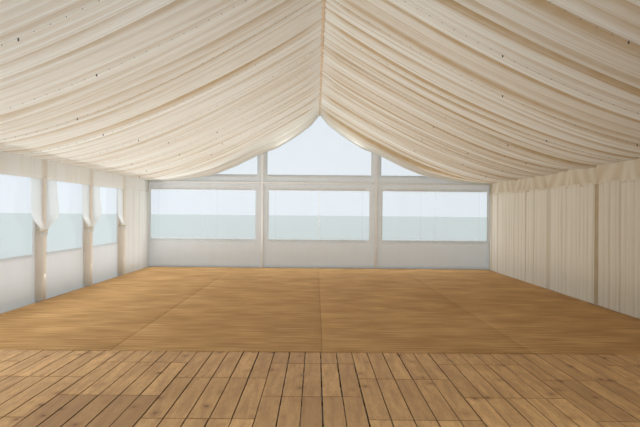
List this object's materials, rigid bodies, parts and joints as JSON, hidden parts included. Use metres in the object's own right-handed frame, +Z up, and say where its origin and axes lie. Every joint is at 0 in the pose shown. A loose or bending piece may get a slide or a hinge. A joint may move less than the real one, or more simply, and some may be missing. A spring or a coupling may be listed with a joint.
{
  "type": "marquee tent",
  "caption": "Long frame marquee with a low gabled sheet roof, sagging pleated ivory lining, clear window walls with tied drapes, an open gable entrance and a timber floor with matting.",
  "frame": {"origin": "on the ground, in the middle of the tent's footprint", "axes": "+X across the tent to the lined wall, +Y along the tent to the far gable, +Z up; the window wall is on -X and the entrance on -Y"},
  "size_m": [9.0172, 21.26, 4.3],
  "materials": {
    "aluminium": "mill-finish extrusion, satin",
    "white_sheet": "coated sheet, smooth with a faint weave",
    "clear_sheet": "clear flexible film, glossy, slightly wavy",
    "ivory_lining": "pleated ivory lining cloth, matt, light comes through",
    "white_voile": "thin white voile in soft folds",
    "pine_boards": "sawn softwood boards, worn, unsealed",
    "coir": "woven coconut matting, coarse"
  },
  "bodies": {
    "root": {"portal_frame_1": "aluminium", "portal_frame_2": "aluminium", "portal_frame_3": "aluminium", "portal_frame_4": "aluminium", "portal_frame_5": "aluminium", "portal_frame_6": "aluminium", "portal_frame_7": "aluminium", "portal_frame_8": "aluminium", "ridge_rail": "aluminium", "left_eaves_rail": "aluminium", "right_eaves_rail": "aluminium", "far_gable_frame": "aluminium", "near_left_upright": "aluminium", "near_right_upright": "aluminium", "near_transom": "aluminium", "timber_floor": "pine_boards", "coir_mat": "coir", "roof_cover_1": "white_sheet", "roof_cover_2": "white_sheet", "roof_cover_3": "white_sheet", "roof_cover_4": "white_sheet", "roof_cover_5": "white_sheet", "roof_cover_6": "white_sheet", "roof_cover_7": "white_sheet", "roof_lining_1": "ivory_lining", "roof_lining_2": "ivory_lining", "roof_lining_3": "ivory_lining", "roof_lining_4": "ivory_lining", "roof_lining_5": "ivory_lining", "roof_lining_6": "ivory_lining", "roof_lining_7": "ivory_lining", "left_wall_1": "white_sheet", "left_wall_2": "white_sheet", "left_wall_3": "white_sheet", "left_wall_4": "white_sheet", "left_wall_5": "white_sheet", "left_wall_6": "white_sheet", "left_wall_7": "white_sheet", "right_wall": "white_sheet", "left_windows": "clear_sheet", "far_gable_wall": "white_sheet", "near_left_wall": "white_sheet", "near_right_wall": "white_sheet", "near_upper_wall": "white_sheet", "far_gable_windows": "clear_sheet", "near_left_window": "clear_sheet", "near_right_window": "clear_sheet", "far_upper_window": "clear_sheet", "near_upper_window": "clear_sheet", "ridge_strip": "ivory_lining", "left_pelmet": "ivory_lining", "right_pelmet": "ivory_lining", "left_end_lining": "ivory_lining", "right_wall_lining": "ivory_lining", "leg_drape_2": "white_voile", "leg_drape_3": "white_voile", "leg_drape_4": "white_voile", "leg_drape_5": "white_voile", "leg_drape_6": "white_voile", "leg_drape_7": "white_voile"}
  },
  "joints": []
}
